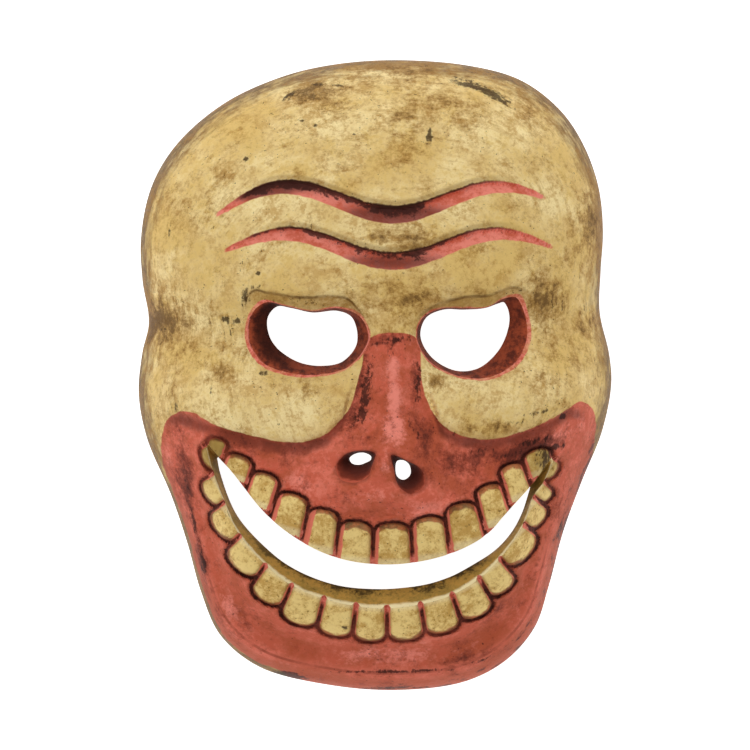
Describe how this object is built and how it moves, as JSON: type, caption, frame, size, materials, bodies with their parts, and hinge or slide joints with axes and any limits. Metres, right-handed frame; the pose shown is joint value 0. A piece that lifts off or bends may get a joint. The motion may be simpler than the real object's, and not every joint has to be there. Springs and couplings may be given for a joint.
{
  "type": "wooden skull mask",
  "caption": "Hollow, open-backed skull mask carved from wood and painted, with eye holes, nostrils, brow wrinkles and a grinning mouth cut through between rows of teeth.",
  "frame": {"origin": "middle of the back rim, in the plane that the rim lies on", "axes": "+Z straight out of the face, +Y towards the crown, +X to the right as the face is looked at"},
  "size_m": [0.1951, 0.26, 0.0989],
  "materials": {
    "painted_wood": "worn satin paint, rubbed and stained, over carved wood"
  },
  "bodies": {
    "root": {"mask": "painted_wood"}
  },
  "joints": []
}
